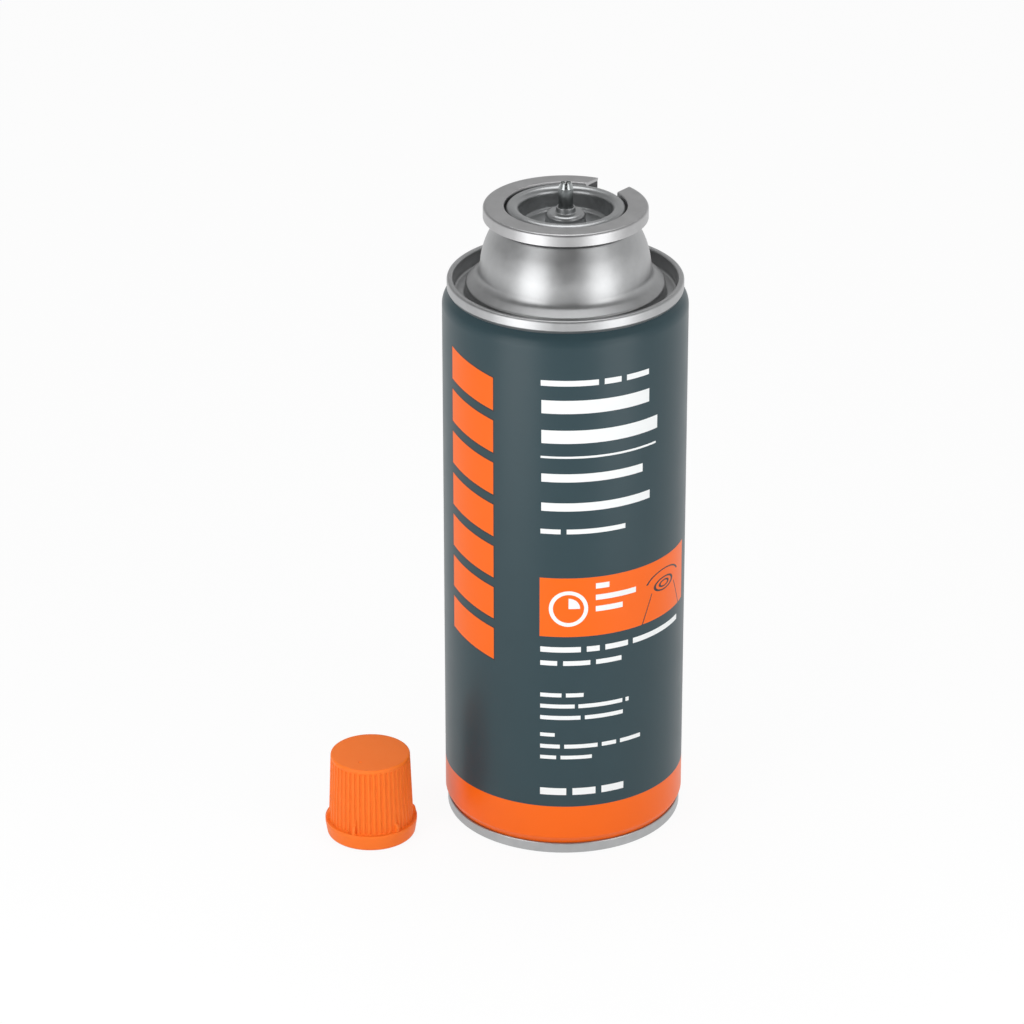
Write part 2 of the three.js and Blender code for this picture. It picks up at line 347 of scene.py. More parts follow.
class Value:
    """A number in a shader. Python's operators on it add Math nodes."""

    def __init__(self, graph: "Graph", socket: bpy.types.NodeSocket) -> None:
        """Wraps a socket of a graph."""
        self.graph = graph
        self.socket = socket

    def math(self, operation: str, *others: Any) -> "Value":
        """Adds a Math node whose first input is this number.

        Args:
            operation: The node's operation.
            others: The values of its next inputs.

        Returns:
            The node's result.
        """
        return self.graph.math(operation, self, *others)

    def __add__(self, other: Any) -> "Value":
        """This plus the other."""
        return self.math("ADD", other)

    def __radd__(self, other: Any) -> "Value":
        """The other plus this."""
        return self.graph.math("ADD", other, self)

    def __sub__(self, other: Any) -> "Value":
        """This less the other."""
        return self.math("SUBTRACT", other)

    def __rsub__(self, other: Any) -> "Value":
        """The other less this."""
        return self.graph.math("SUBTRACT", other, self)

    def __mul__(self, other: Any) -> "Value":
        """This times the other."""
        return self.math("MULTIPLY", other)

    def __rmul__(self, other: Any) -> "Value":
        """The other times this."""
        return self.graph.math("MULTIPLY", other, self)

    def __truediv__(self, other: Any) -> "Value":
        """This divided by the other."""
        return self.math("DIVIDE", other)

    def __rtruediv__(self, other: Any) -> "Value":
        """The other divided by this."""
        return self.graph.math("DIVIDE", other, self)

    def __gt__(self, other: Any) -> "Value":
        """1 where this is more than the other."""
        return self.math("GREATER_THAN", other)

    def __lt__(self, other: Any) -> "Value":
        """1 where this is less than the other."""
        return self.math("LESS_THAN", other)

    def size(self) -> "Value":
        """This without its sign."""
        return self.math("ABSOLUTE")

    def within(self, low: float, high: float) -> "Value":
        """1 from low to high, and 0 elsewhere."""
        return self.math("COMPARE", (low + high) / 2, (high - low) / 2)

    def root_with(self, other: "Value") -> "Value":
        """The length of the arrow that has this and the other as its sides."""
        return (self * self + other * other).math("SQRT")

    def scaled(self, low: float, high: float, first: float, last: float) -> "Value":
        """Carries this over from one range to another, and stops at the ends.

        Args:
            low: The value that becomes the first.
            high: The value that becomes the last.
            first: The result at low and below it.
            last: The result at high and above it.

        Returns:
            The number in its new range.
        """
        node = self.graph.node(
            "ShaderNodeMapRange",
            {"clamp": True},
            {"Value": self, "From Min": low, "From Max": high, "To Min": first, "To Max": last},
        )
        return Value(self.graph, node.outputs["Result"])


def facing(x: Value, y: Value, front: float) -> tuple[Value, Value]:
    """Splits a place into its steps to the right and to the front, seen from the front.

    Args:
        x: The place along X.
        y: The place along Y.
        front: The direction of the front, in degrees from the row frame's -Y.

    Returns:
        The steps to the right and to the front.
    """
    sine, cosine = math.sin(math.radians(front)), math.cos(math.radians(front))
    return x * cosine + y * sine, x * sine - y * cosine


class Graph:
    """The node tree of one material, or of the world."""

    def __init__(self, owner: bpy.types.Material | bpy.types.World) -> None:
        """Empties the owner's tree.

        Args:
            owner: The material or the world that the tree belongs to.
        """
        owner.use_nodes = True
        self.tree = owner.node_tree
        self.tree.nodes.clear()

    def node(
        self, kind: str, settings: dict[str, Any] | None = None, sockets: dict[Any, Any] | None = None
    ) -> bpy.types.Node:
        """Adds a node, with its settings first and then the values or links of its sockets.

        Args:
            kind: The node's type.
            settings: Its properties, such as an operation.
            sockets: What goes into its inputs, by name or number.

        Returns:
            The new node.
        """
        node = self.tree.nodes.new(kind)
        for name, setting in (settings or {}).items():
            setattr(node, name, setting)
        for name, given in (sockets or {}).items():
            given = given.socket if isinstance(given, Value) else given
            if isinstance(given, bpy.types.NodeSocket):
                self.tree.links.new(given, node.inputs[name])
            elif isinstance(given, tuple) and node.inputs[name].type == "RGBA":
                node.inputs[name].default_value = (*given, 1.0)
            else:
                node.inputs[name].default_value = given
        return node

    def math(self, operation: str, *inputs: Any) -> Value:
        """Adds a Math node and gives its result."""
        node = self.node("ShaderNodeMath", {"operation": operation}, dict(enumerate(inputs)))
        return Value(self, node.outputs[0])

    def coordinates(self, kind: str) -> tuple[Value, Value, Value]:
        """Gives the three numbers of a texture coordinate.

        Args:
            kind: Which of the node's coordinates.

        Returns:
            Its numbers along X, Y and Z.
        """
        whole = self.node("ShaderNodeTexCoord").outputs[kind]
        split = self.node("ShaderNodeSeparateXYZ", sockets={0: whole})
        return tuple(Value(self, output) for output in split.outputs)

    def place(self) -> tuple[Value, Value, Value]:
        """Gives the three object coordinates of the surface, in millimetres."""
        return tuple(part * (1 / MM) for part in self.coordinates("Object"))

    def around(self, axis: Place, front: float = 0.0) -> tuple[Value, Value, Value]:
        """Gives angle, distance and height about a vertical axis.

        The angle is the arc tangent of the steps to the right and to the front, so it is zero in
        front and grows anticlockwise seen from above.

        Args:
            axis: The axis.
            front: The direction of the front, in degrees from the row frame's -Y.

        Returns:
            The angle in radians, the distance and the height in millimetres.
        """
        x, y, z = self.place()
        x, y = x - axis.x, y - axis.y
        right, ahead = facing(x, y, front)
        return right.math("ARCTAN2", ahead), x.root_with(y), z

    def vector(self, x: Any, y: Any, z: Any) -> bpy.types.NodeSocket:
        """Joins three numbers into a vector."""
        return self.node("ShaderNodeCombineXYZ", sockets={0: x, 1: y, 2: z}).outputs[0]

    def noise(self, at: bpy.types.NodeSocket, scale: float, detail: float = 2.0) -> Value:
        """Gives smooth noise between 0 and 1 at a vector."""
        sockets = {"Vector": at, "Scale": scale, "Detail": detail}
        return Value(self, self.node("ShaderNodeTexNoise", sockets=sockets).outputs[0])

    def mix(self, share: Any, low: Any, high: Any) -> bpy.types.NodeSocket:
        """Mixes two colours, from all of low at share 0 to all of high at share 1."""
        return self.node("ShaderNodeMix", {"data_type": "RGBA"}, {0: share, 6: low, 7: high}).outputs[2]

    def bump(self, height: Value, depth: float) -> bpy.types.NodeSocket:
        """Gives the normal of a surface that stands up by height times depth, depth in mm."""
        sockets = {"Height": height, "Distance": depth * MM, "Strength": 1.0}
        return self.node("ShaderNodeBump", sockets=sockets).outputs[0]

    def seen_directly(self) -> Value:
        """Tells what is seen from the light that falls on things.

        Returns:
            1 to the camera, to mirrors and to glass, and 0 to the rest.
        """
        path = self.node("ShaderNodeLightPath")
        kinds = ("Is Camera Ray", "Is Glossy Ray", "Is Transmission Ray")
        camera, glossy, transmission = (Value(self, path.outputs[kind]) for kind in kinds)
        return (camera + glossy + transmission).math("MINIMUM", 1.0)

    def surface(self, sockets: dict[str, Any]) -> None:
        """Ends the tree in a Principled shader with these sockets."""
        shader = self.node("ShaderNodeBsdfPrincipled", sockets=sockets)
        self.finish(shader.outputs[0])

    def finish(self, shader: bpy.types.NodeSocket) -> None:
        """Ends a material's tree in a shader."""
        self.node("ShaderNodeOutputMaterial", sockets={"Surface": shader})


@dataclass(frozen=True)
class PrintedLine:
    """A line of the print: plain bars of these lengths, in a row from its left end."""

    foot: float
    top: float
    lengths: tuple[float, ...]
    gap: float = 1.6
    left: float = -6.4

    def mask(self, arc: Value, height: Value) -> Value:
        """Gives 1 on the bars.

        Args:
            arc: The way round the wall from the front.
            height: The height on the wall.

        Returns:
            The mask.
        """
        bars: Value | float = 0.0
        start = self.left
        for length in self.lengths:
            bars = bars + arc.within(start, start + length)
            start += length + self.gap
        return bars * height.within(self.foot, self.top)


@dataclass(frozen=True)
class Oval:
    """A drawn oval: its half sizes, and the shares of them where its line starts and ends."""

    width: float
    tall: float
    inner: float
    outer: float

    def mask(self, across: Value, above: Value) -> Value:
        """Gives 1 on the line, at these steps from the oval's middle."""
        return (across / self.width).root_with(above / self.tall).within(self.inner, self.outer)


@dataclass(frozen=True)
class FieldSigns:
    """The plain signs on the orange field: a ring with a quarter in it, bars and a can's top.

    A place is the way round the wall from the front, and the height on the wall.
    """

    ring_arc: float = 1.2
    ring_height: float = 75.4
    ring_inner: float = 4.2
    ring_outer: float = 5.3
    quarter: float = 3.1
    bars: tuple[PrintedLine, ...] = (
        PrintedLine(81.0, 82.6, (3.8,), left=8.6),
        PrintedLine(77.6, 79.2, (12.0,), left=8.6),
        PrintedLine(74.2, 75.8, (7.8,), left=8.6),
    )
    can_arc: float = 31.6
    can_height: float = 76.6
    can_collar: Oval = Oval(4.0, 1.8, 0.88, 1.12)
    can_valve: Oval = Oval(2.0, 0.9, 0.75, 1.2)
    turn_arrow: Oval = Oval(7.4, 3.9, 0.95, 1.05)
    arrow_rise: float = 0.4
    arrow_foot: float = 1.6
    side_top: float = -1.4
    side_half: float = 5.2
    side_lean: float = 0.42
    side_line: float = 0.18

    def white(self, arc: Value, height: Value) -> Value:
        """Draws the ring, its quarter and the bars beside it.

        Args:
            arc: The way round the wall from the front.
            height: The height on the wall.

        Returns:
            The mask of what is white.
        """
        across, above = arc - self.ring_arc, height - self.ring_height
        out = across.root_with(above)
        white = out.within(self.ring_inner, self.ring_outer)
        white = white + (out < self.quarter) * (across > 0.0) * (above > 0.0)
        for bar in self.bars:
            white = white + bar.mask(arc, height)
        return white

    def dark(self, arc: Value, height: Value) -> Value:
        """Draws the can's collar, valve and sloping sides, and the arc of a turn above them.

        Args:
            arc: The way round the wall from the front.
            height: The height on the wall.

        Returns:
            The mask of what is drawn in dark line.
        """
        across, above = arc - self.can_arc, height - self.can_height
        apart = across.size() - (self.side_half - (above - self.side_top) * self.side_lean)
        sides = apart.within(-self.side_line, self.side_line) * (above < self.side_top)
        arrow = self.turn_arrow.mask(across, above - self.arrow_rise) * (above > self.arrow_foot)
        return self.can_collar.mask(across, above) + self.can_valve.mask(across, above) + sides + arrow


@dataclass(frozen=True)
class PrintedCoat:
    """The lacquered print of the wall: slate, an orange foot band, blocks, a field and plain bars."""

    name: str = "printed_coat"
    slate: Colour = (0.0265, 0.053, 0.0635)
    orange: Colour = (0.85, 0.127, 0.002)
    white: Colour = (0.80, 0.82, 0.82)
    line: Colour = (0.030, 0.030, 0.032)
    bare: Colour = (0.33, 0.34, 0.34)
    slate_shades: Span = (0.93, 1.1)
    roughness: float = 0.36
    roughness_spread: float = 0.08
    specular: float = 0.28
    speck_scale: float = 0.11
    speck_share: float = 0.5
    grain_scale: float = 1.3
    grain_rise: float = 0.35
    relief: float = 0.006
    foot_band: float = 14.94
    block_left: float = -37.5
    block_right: float = -20.2
    block_foot: float = 57.5
    block_top: float = 143.5
    block_count: int = 7
    block_fill: float = 0.76
    block_slant: float = 0.2
    block_edge: float = 0.35
    field_left: float = -6.6
    field_right: float = 43.5
    field_foot: float = 67.0
    field_top: float = 84.5
    weld_width: float = 2.6
    weld_rise: float = 12.0
    weld_blend: float = 0.5
    signs: FieldSigns = FieldSigns()
    lines: tuple[PrintedLine, ...] = (
        PrintedLine(140.5, 142.1, (15.4, 4.8, 7.2)),
        PrintedLine(132.6, 136.4, (30.6,), left=-6.2),
        PrintedLine(124.0, 127.8, (33.8,), left=-6.2),
        PrintedLine(119.7, 120.3, (33.5,)),
        PrintedLine(112.8, 115.2, (28.6,), left=-6.2),
        PrintedLine(104.3, 106.7, (31.2,), left=-6.2),
        PrintedLine(97.6, 99.0, (5.4, 16.4)),
        PrintedLine(62.3, 63.9, (11.0, 3.6, 6.8, 19.4)),
        PrintedLine(58.3, 59.7, (4.6, 7.4, 7.4)),
        PrintedLine(48.7, 49.9, (5.8, 4.8), gap=1.2),
        PrintedLine(45.3, 46.5, (9.4, 12.6, 1.0), gap=1.0),
        PrintedLine(41.8, 43.0, (11.0, 11.0), gap=1.2),
        PrintedLine(36.6, 37.7, (4.0,)),
        PrintedLine(33.0, 34.2, (5.4, 9.2, 4.2, 6.6), gap=1.2),
        PrintedLine(29.7, 30.8, (4.4, 8.6), gap=1.2),
        PrintedLine(18.6, 20.7, (7.2, 6.4, 6.6), gap=1.7),
    )

    def blocks(self, arc: Value, height: Value) -> Value:
        """Measures the way to the nearest slanted block of the column at the left.

        The blocks repeat at an even pitch along the height plus slant times arc. The distance is
        the largest of three: past the block's ends, the column's sides and the column's ends.

        Args:
            arc: The way round the wall from the front.
            height: The height on the wall.

        Returns:
            The distance, less than 0 on a block.
        """
        total = self.block_top - self.block_foot
        pitch = total / self.block_count
        middle = (self.block_left + self.block_right) / 2
        width = self.block_right - self.block_left
        along = height - self.block_foot + (arc - middle) * self.block_slant
        ends = (along.math("WRAP", pitch, 0.0) - pitch / 2).size() - pitch * self.block_fill / 2
        sides = (arc - middle).size() - width / 2
        past = (along - total / 2).size() - total / 2
        return ends.math("MAXIMUM", sides).math("MAXIMUM", past)

    def material(self, axis: Place, front: float) -> bpy.types.Material:
        """Makes the finish.

        Args:
            axis: The can's axis.
            front: The direction of the front, in degrees.

        Returns:
            The material.
        """
        made = bpy.data.materials.new(self.name)
        graph = Graph(made)
        angle, _, height = graph.around(axis, front)
        arc = angle * axis.radius
        wall = graph.vector(arc, height, 0.0)
        speck = graph.noise(wall, self.speck_scale, detail=3.0)
        grain = graph.noise(wall, self.grain_scale)
        dark_slate, light_slate = (shaded(self.slate, share) for share in self.slate_shades)
        apart = self.blocks(arc, height)
        across = arc.within(self.field_left, self.field_right)
        field = across * height.within(self.field_foot, self.field_top)
        white = self.signs.white(arc, height)
        for line in self.lines:
            white = white + line.mask(arc, height)
        back = math.pi * axis.radius - arc.size()
        coats = (
            (apart < self.block_edge, self.line),
            (apart < 0.0, self.orange),
            (field, self.orange),
            (self.signs.dark(arc, height) * field, self.line),
            (white, self.white),
            (height < self.foot_band, self.orange),
            (back < self.weld_width / 2, self.bare),
        )
        colour = graph.mix(speck * self.speck_share, dark_slate, light_slate)
        for mask, coat in coats:
            colour = graph.mix(mask, colour, coat)
        weld = back.scaled(0.0, self.weld_blend, 1.0, 0.0)
        rise = grain * self.grain_rise + weld * self.weld_rise
        graph.surface(
            {
                "Base Color": colour,
                "Roughness": self.roughness + (speck - 0.5) * self.roughness_spread,
                "Normal": graph.bump(rise, self.relief),
                "Specular IOR Level": self.specular,
            }
        )
        return made


@dataclass(frozen=True)
class BareMetal:
    """Unpainted sheet or turned metal, with a grain that runs round its axis."""

    name: str
    colour: Colour
    roughness: float
    mottle: float = 0.05
    grain: float = 0.02
    grain_depth: float = 0.004
    grain_scale: float = 0.9
    grain_across: float = 5.0
    grain_along: float = 6.0
    grain_share: float = 0.6
    patch_scale: float = 0.35
    patch_span: Span = (0.3, 0.7)
    shade: float = 0.1

    def material(self, axis: Place) -> bpy.types.Material:
        """Makes the finish.

        The grain is noise that is stretched along the turn: it changes fast with the height and
        the distance from the axis, and slowly with the way round.

        Args:
            axis: The axis of the grain.

        Returns:
            The material.
        """
        made = bpy.data.materials.new(self.name)
        graph = Graph(made)
        angle, out, height = graph.around(axis)
        arc, out, height = angle * self.grain_along, out * self.grain_across, height * self.grain_across
        lines = graph.noise(graph.vector(arc, out, height), self.grain_scale, detail=3.0)
        patch = graph.noise(graph.vector(*graph.place()), self.patch_scale, detail=3.0)
        dark = shaded(self.colour, 1 - self.shade)
        colour = graph.mix(patch.scaled(*self.patch_span, 0.0, 1.0), dark, self.colour)
        roughness = self.roughness + (patch - 0.5) * self.mottle * 2 + (lines - 0.5) * self.grain * 2
        rise = lines * self.grain_share + patch * (1 - self.grain_share)
        graph.surface(
            {
                "Base Color": colour,
                "Metallic": 1.0,
                "Roughness": roughness,
                "Normal": graph.bump(rise, self.grain_depth),
            }
        )
        return made


@dataclass(frozen=True)
class MouldedPlastic:
    """Opaque moulded plastic with a fine matt grain."""

    name: str = "orange_plastic"
    colour: Colour = (0.85, 0.165, 0.014)
    pale: Colour = (0.88, 0.200, 0.030)
    roughness: float = 0.46
    roughness_spread: float = 0.12
    specular: float = 0.22
    grain_scale: float = 6.0
    grain_depth: float = 0.0006
    cloud_scale: float = 0.2
    cloud_share: float = 0.5
    glow_weight: float = 0.06
    glow_depth: tuple[float, float, float] = (0.0012, 0.0005, 0.0002)

    def material(self) -> bpy.types.Material:
        """Makes the finish.

        Returns:
            The material.
        """
        made = bpy.data.materials.new(self.name)
        graph = Graph(made)
        at = graph.vector(*graph.place())
        grain, cloud = graph.noise(at, self.grain_scale), graph.noise(at, self.cloud_scale)
        graph.surface(
            {
                "Base Color": graph.mix(cloud * self.cloud_share, self.colour, self.pale),
                "Roughness": self.roughness + (grain - 0.5) * self.roughness_spread,
                "Normal": graph.bump(grain, self.grain_depth),
                "Subsurface Weight": self.glow_weight,
                "Subsurface Radius": self.glow_depth,
                "Subsurface Scale": 1.0,
                "Specular IOR Level": self.specular,
            }
        )
        return made


@dataclass
class Can:
    """The sealed can: the printed wall between its two ends, each joined by a double seam."""

    axis: Place
    rim_top: float
    columns: int = 288
    crown_steps: int = 24
    sheet: float = 0.25
    end_sheet: float = 0.4
    foot_seam_radius: float = 32.4
    foot_seam_inner: float = 30.7
    foot_seam_height: float = 3.1
    foot_groove_radius: float = 31.8
    foot_neck_height: float = 5.2
    foot_neck_round: float = 1.2
    foot_tuck: float = 1.4
    foot_recess: float = 4.2
    foot_ring_drop: float = 0.8
    foot_fit: float = 0.1
    foot_lean: float = 0.5
    foot_dome_radius: float = 29.9
    foot_dome_crown: float = 9.5
    seam_radius: float = 31.7
    seam_inner: float = 30.1
    seam_height: float = 2.65
    groove_radius: float = 31.1
    groove_height: float = 0.95
    top_tuck: float = 1.8
    trough_inner: float = 26.7
    trough_depth: float = 4.6
    shoulder_lean: float = 37.0
    shoulder_round: float = 8.5
    rim_above_dome: float = 4.45
    dome_height: float = 15.9
    foot_drop: float = 1.35
    waist_radius: float = 23.35
    waist_rise: float = 0.7
    waist_round: float = 3.0
    break_radius: float = 22.15
    break_round: float = 22.0
    inner_tuck: float = 0.2
    side_height: float = 8.2
    flat_radius: float = 18.6
    mouth_outer: float = 15.2
    mouth_inner: float = 13.2
    mouth_drop: float = 0.8
    curl_round: float = 0.95

    def __post_init__(self) -> None:
        """Works out the levels of the top from the level of the rim."""
        self.dome_top = self.rim_top - self.rim_above_dome
        self.seam_top = self.dome_top - self.dome_height
        self.seam_foot = self.seam_top - self.seam_height
        self.groove = self.seam_foot - self.groove_height
        lean = math.tan(math.radians(self.shoulder_lean))
        self.shoulder = self.groove - (self.axis.radius - self.groove_radius) / lean

    def printed_body(self) -> Piece:
        """Builds the wall: a tube of sheet, necked in at both ends, whose ends go into the seams.

        The outline goes up outside and comes down inside, one sheet further in.

        Returns:
            The piece.
        """
        wall, sheet = self.axis.radius, self.sheet
        foot_end = self.foot_seam_height - self.foot_tuck
        top_end = self.groove + self.top_tuck
        outline = profile(
            [
                Corner(self.foot_groove_radius, foot_end),
                Corner(self.foot_groove_radius, self.foot_seam_height, 0.1),
                Corner(wall, self.foot_neck_height, self.foot_neck_round),
                Corner(wall, self.shoulder, self.shoulder_round),
                Corner(self.groove_radius, self.groove, 0.12),
                Corner(self.groove_radius, top_end),
                Corner(self.groove_radius - sheet, top_end),
                Corner(self.groove_radius - sheet, self.groove, 0.1),
                Corner(wall - sheet, self.shoulder, self.shoulder_round - sheet),
                Corner(wall - sheet, self.foot_neck_height, 1.0),
                Corner(self.foot_groove_radius - sheet, self.foot_seam_height, 0.1),
                Corner(self.foot_groove_radius - sheet, foot_end),
            ],
            closed=True,
            hold=0.5,
        )
        return Piece.turned(
            "printed_body", outline, self.axis, self.columns, Slot.PRINTED_TINPLATE, "sealed_can"
        )

    def dome_end(self) -> Piece:
        """Builds the domed top end with its seam, its trough and the curled mouth round the valve.

        The outline goes up the seam, down into the trough, over the dome to the mouth, and back
        underneath, one sheet lower.

        Returns:
            The piece.
        """
        sheet = self.end_sheet
        floor = self.seam_top - self.trough_depth
        foot = self.seam_top - self.foot_drop
        waist = self.seam_top + self.waist_rise
        side_top = waist + self.side_height
        mouth = self.rim_top - self.mouth_drop
        outline = profile(
            [
                Corner(self.seam_radius, self.seam_foot, 0.3),
                Corner(self.seam_radius, self.seam_top, 0.7),
                Corner(self.seam_inner, self.seam_top, 0.5),
                Corner(self.seam_inner, floor, 0.8),
                Corner(self.trough_inner, floor, 0.8),
                Corner(self.trough_inner, foot, 0.9),
                Corner(self.waist_radius, waist, self.waist_round),
                Corner(self.break_radius, side_top, self.break_round),
                Corner(self.flat_radius, self.dome_top, 1.6),
                Corner(self.mouth_outer, self.dome_top, 0.3),
                Corner(self.mouth_outer, mouth, self.curl_round),
                Corner(self.mouth_inner, mouth, self.curl_round),
                Corner(self.mouth_inner, self.dome_top - sheet),
                Corner(self.flat_radius - self.inner_tuck, self.dome_top - sheet, 1.3),
                Corner(self.break_radius - sheet, side_top - self.inner_tuck, self.break_round - sheet),
                Corner(self.waist_radius - sheet, waist - sheet, self.waist_round + sheet),
                Corner(self.trough_inner - sheet, foot - sheet, 0.4),
                Corner(self.trough_inner - sheet, floor - sheet, 1.1),
                Corner(self.seam_inner + sheet, floor - sheet, 1.1),
                Corner(self.seam_inner + sheet, self.groove, 0.1),
                Corner(self.groove_radius, self.groove, 0.05),
            ],
            closed=True,
        )
        return Piece.turned("dome_end", outline, self.axis, self.columns, Slot.CUP_TINPLATE, "sealed_can")

    def bottom_end(self) -> Piece:
        """Builds the bottom end: a shallow dome that is pressed inwards, in its seam.

        The outline starts on the axis under the dome, goes out and round the seam, and comes back
        to the axis on top of the dome.

        Returns:
            The piece.
        """
        sheet = self.end_sheet
        edge = (self.foot_dome_radius, self.foot_recess)
        top_edge = (self.foot_dome_radius, self.foot_recess + sheet)
        under = sphere_line(edge, self.foot_dome_crown, self.crown_steps)
        over = sphere_line(top_edge, self.foot_dome_crown + sheet, self.crown_steps)
        ring = rounded(
            [
                Corner(*edge),
                Corner(self.foot_seam_inner, self.foot_recess - self.foot_ring_drop, 0.3),
                Corner(self.foot_seam_inner, 0.0, 0.35),
                Corner(self.foot_seam_radius, 0.0, 0.5),
                Corner(self.foot_seam_radius, self.foot_seam_height, 0.5),
                Corner(self.foot_groove_radius - self.foot_fit, self.foot_seam_height, 0.1),
                Corner(self.foot_groove_radius - self.foot_lean, self.foot_recess + self.foot_fit, 0.1),
                Corner(*top_edge),
            ],
            closed=False,
            steps=8,
        )
        outline = braced(np.vstack([under[:-1], ring, over[:-1][::-1]]), closed=False, hold=0.2)
        return Piece.turned(
            "bottom_end", outline, self.axis, self.columns, Slot.CUP_TINPLATE, "sealed_can", closed=False
        )


@dataclass
class ValveHead:
    """What is crimped into the can's mouth: the cup, the collar round it and the stem in it."""

    axis: Place
    stem: Place
    rim_top: float
    columns: int = 240
    cup_columns: int = 192
    collar_inner: float = 16.4
    collar_outer: float = 22.0
    collar_sheet: float = 0.8
    collar_skirt: float = 3.25
    collar_foot_gap: float = 0.3
    rim_above_dome: float = 4.45
    notch_width: float = 10.5
    notch_round: float = 0.7
    notch_crowding: float = 0.45
    cup_radius: float = 16.0
    cup_skirt: float = 3.0
    bowl_radius: float = 12.4
    bowl_depth: float = 6.3
    cup_sheet: float = 0.5
    pedestal_radius: float = 5.2
    pedestal_flare: float = 0.35
    pedestal_height: float = 4.4
    lip_radius: float = 2.5
    lip_height: float = 1.4
    lip_flare: float = 0.2
    stem_hole: float = 2.1
    stem_radius: float = 1.95
    stem_tip: float = 1.38
    stem_nose: float = 1.6
    stem_bore: float = 0.6
    bore_depth: float = 3.5
    slot_width: float = 0.5
    slot_depth: float = 0.9
    slot_core: float = 0.3
    slot_steps: int = 6
    teeth: int = 4
    tooth_steps: int = 24
    flange_radius: float = 3.4
    flange_height: float = 1.0
    tail_length: float = 4.5

    def collar(self) -> Piece:
        """Builds the notched collar: a channel of sheet, open below, bent round the valve.

        The outside and inside lines of the section have their points in pairs, so the cut ends at
        the notch are strips between them. A point at radius r starts at the angle whose sine is
        half of the notch over r, which gives the notch parallel sides. Over the last stretch of
        the radius the half notch grows by a quarter circle, which rounds the corners in plan. A
        sine of the share of the turn, taken from it, crowds the columns near the notch.

        Returns:
            The piece.
        """
        top, sheet = self.rim_top, self.collar_sheet
        foot = top - self.rim_above_dome + self.collar_foot_gap
        skirt = top - self.collar_skirt
        inner, outer = self.collar_inner, self.collar_outer
        outside = profile(
            [
                Corner(outer, skirt),
                Corner(outer, top, 0.75),
                Corner(inner, top, 0.4),
                Corner(inner, foot),
            ],
            hold=0.25,
        )
        inside = profile(
            [
                Corner(outer - sheet, skirt),
                Corner(outer - sheet, top - sheet, 0.35),
                Corner(inner + sheet, top - sheet, 0.35),
                Corner(inner + sheet, foot),
            ],
            hold=0.25,
        )
        section = np.vstack([outside, inside[::-1]])
        radius = section[:, :1]
        late = np.clip((radius - (outer - self.notch_round)) / self.notch_round, 0, 1)
        half = self.notch_width / 2 + self.notch_round * (1 - np.sqrt(1 - late**2))
        start = np.arcsin(half / radius)
        full = 2 * math.pi
        share = np.linspace(0, 1, self.columns + 1)
        share = share - self.notch_crowding / full * np.sin(full * share)
        angle = math.pi / 2 + start + share * (full - 2 * start)
        grid = round_axis(self.axis, radius, angle, section[:, 1:])
        rows, columns = grid.shape[:2]
        faces = grid_faces(rows, columns, True, False)
        index = np.arange(rows * columns).reshape(rows, columns)
        pairs = len(outside)
        front, back = index[:pairs], index[pairs:][::-1]
        first = np.stack([front[:-1, 0], front[1:, 0], back[1:, 0], back[:-1, 0]], -1)
        last = np.stack([front[:-1, -1], back[:-1, -1], back[1:, -1], front[1:, -1]], -1)
        faces = np.vstack([faces, first, last])
        return Piece("collar_ring", grid, faces, Body.CANISTER, Slot.COLLAR_STEEL, "collar")

    def valve_cup(self) -> Piece:
        """Builds the drawn cup: its rolled rim, its bowl and the pedestal with the stem's lip.

        Returns:
            The piece.
        """
        top, sheet = self.rim_top, self.cup_sheet
        floor = top - self.bowl_depth
        pedestal = floor + self.pedestal_height
        lip = pedestal + self.lip_height
        flare = self.pedestal_radius + self.pedestal_flare
        outline = profile(
            [
                Corner(self.cup_radius, top - self.cup_skirt, 0.1),
                Corner(self.cup_radius, top, 1.8),
                Corner(self.bowl_radius, top, 1.8),
                Corner(self.bowl_radius, floor, 1.3),
                Corner(flare, floor, 0.4),
                Corner(self.pedestal_radius, pedestal, 1.2),
                Corner(self.lip_radius + self.lip_flare, pedestal, 0.25),
                Corner(self.lip_radius, lip, 0.2),
                Corner(self.stem_hole, lip, 0.1),
                Corner(self.stem_hole, pedestal - sheet),
                Corner(self.pedestal_radius - sheet, pedestal - sheet, 0.7),
                Corner(flare - sheet, floor - sheet, 0.4),
                Corner(self.bowl_radius + sheet, floor - sheet, 1.6),
                Corner(self.bowl_radius + sheet, top - sheet, 1.2),
                Corner(self.cup_radius - sheet, top - sheet, 1.2),
                Corner(self.cup_radius - sheet, top - self.cup_skirt, 0.1),
            ],
            closed=True,
            hold=0.18,
        )
        return Piece.turned(
            "cup_shell", outline, self.axis, self.cup_columns, Slot.CUP_TINPLATE, "valve_cup"
        )

